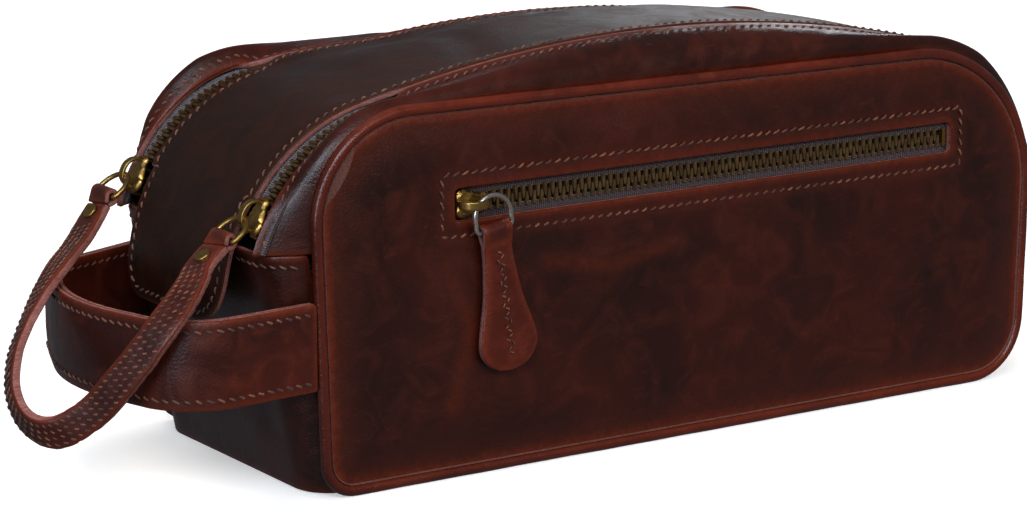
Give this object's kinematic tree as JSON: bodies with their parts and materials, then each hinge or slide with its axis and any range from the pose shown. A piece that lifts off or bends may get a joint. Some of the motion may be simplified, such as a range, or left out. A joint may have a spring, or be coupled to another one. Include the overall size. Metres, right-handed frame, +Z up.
{
  "type": "shaving kit bag",
  "caption": "Leather shaving kit bag with a double-zip flap lid, front zip pocket, side carry handle and a pull strap joining both main zip pulls.",
  "frame": {"origin": "centre of the base, on the surface the bag stands on", "axes": "+X along the bag away from its handle, the zip pocket faces -Y, +Z up"},
  "size_m": [0.3408, 0.1077, 0.1193],
  "materials": {
    "shell_leather": "waxed pull-up leather, semi-gloss",
    "lid_leather": "waxed pull-up leather, semi-gloss",
    "piping_leather": "rolled leather piping, semi-gloss",
    "handle_leather": "waxed pull-up leather with raw edges",
    "pull_leather": "soft leather with raw edges",
    "lining_cloth": "plain woven cotton",
    "zip_tape": "woven zip tape",
    "zip_brass": "antique brass teeth",
    "slider_brass": "antique brass, polished on its edges",
    "rivet_brass": "antique brass",
    "nickel": "warm nickel plate"
  },
  "bodies": {
    "bag": {"back_gusset": "shell_leather", "back_outer_tape": "zip_tape", "back_outer_teeth": "zip_brass", "back_panel": "shell_leather", "back_piping": "piping_leather", "back_zip_stop": "zip_brass", "base_panel": "shell_leather", "front_gusset": "shell_leather", "front_outer_tape": "zip_tape", "front_outer_teeth": "zip_brass", "front_panel": "shell_leather", "front_piping": "piping_leather", "front_zip_stop": "zip_brass", "handle_inner": "handle_leather", "handle_outer": "handle_leather", "left_end_panel": "shell_leather", "main_lining": "lining_cloth", "pocket_lining": "lining_cloth", "pocket_lower_tape": "zip_tape", "pocket_lower_teeth": "zip_brass", "pocket_upper_tape": "zip_tape", "pocket_upper_teeth": "zip_brass", "pocket_zip_stop": "zip_brass", "right_end_panel": "shell_leather"},
    "lid": {"lid_panel": "lid_leather", "lid_lining": "lining_cloth", "front_inner_tape": "zip_tape", "front_inner_teeth": "zip_brass", "back_inner_tape": "zip_tape", "back_inner_teeth": "zip_brass"},
    "front_slider": {"front_slider": "slider_brass", "front_slider_bridge": "slider_brass"},
    "back_slider": {"back_slider": "slider_brass", "back_slider_bridge": "slider_brass"},
    "front_ring": {"front_ring": "slider_brass"},
    "back_ring": {"back_ring": "slider_brass"},
    "strap": {"pull_strap": "pull_leather", "front_rivet": "rivet_brass", "back_rivet": "rivet_brass"},
    "pocket_slider": {"pocket_slider": "slider_brass", "pocket_slider_bridge": "slider_brass"},
    "pocket_ring": {"pocket_ring": "nickel"},
    "pocket_pull": {"pocket_pull": "pull_leather"}
  },
  "joints": [
    {"name": "lid_open", "type": "hinge", "parent": "bag", "child": "lid", "pos_m": [0.13594, 0, 0.07041], "axis": [0, 1, 0], "range_deg": [0, 105]},
    {"name": "front_slider_travel", "type": "hinge", "parent": "bag", "child": "front_slider", "pos_m": [-0.088, -0.035, 0.052], "axis": [0, 1, 0], "range_deg": [0, 38.5]},
    {"name": "back_slider_travel", "type": "hinge", "parent": "bag", "child": "back_slider", "pos_m": [-0.088, 0.035, 0.052], "axis": [0, 1, 0], "range_deg": [0, 38.5]},
    {"name": "front_ring_swing", "type": "hinge", "parent": "front_slider", "child": "front_ring", "pos_m": [-0.14118, -0.035, 0.08027], "axis": [0, 1, 0], "range_deg": [0, 60]},
    {"name": "back_ring_swing", "type": "hinge", "parent": "back_slider", "child": "back_ring", "pos_m": [-0.14118, 0.035, 0.08027], "axis": [0, 1, 0], "range_deg": [0, 60]},
    {"name": "strap_swing", "type": "hinge", "parent": "front_ring", "child": "strap", "pos_m": [-0.1478, -0.035, 0.0751], "axis": [0, 1, 0], "range_deg": [0, 65]},
    {"name": "pocket_slider_travel", "type": "slide", "parent": "bag", "child": "pocket_slider", "axis": [1, 0, 0], "range_m": [0, 0.163]},
    {"name": "pocket_ring_sway", "type": "hinge", "parent": "pocket_slider", "child": "pocket_ring", "pos_m": [-0.07229, -0.0542, 0.07605], "axis": [0, -1, 0], "range_deg": [-30, 100]},
    {"name": "pocket_pull_swing", "type": "hinge", "parent": "pocket_ring", "child": "pocket_pull", "pos_m": [-0.07172, -0.0542, 0.07199], "axis": [-0.9903, 0, -0.1392], "range_deg": [0, 90]}
  ],
  "couplings": [
    {"joint": "back_slider_travel", "follows": "front_slider_travel", "ratio": 1},
    {"joint": "back_ring_swing", "follows": "front_ring_swing", "ratio": 1}
  ]
}
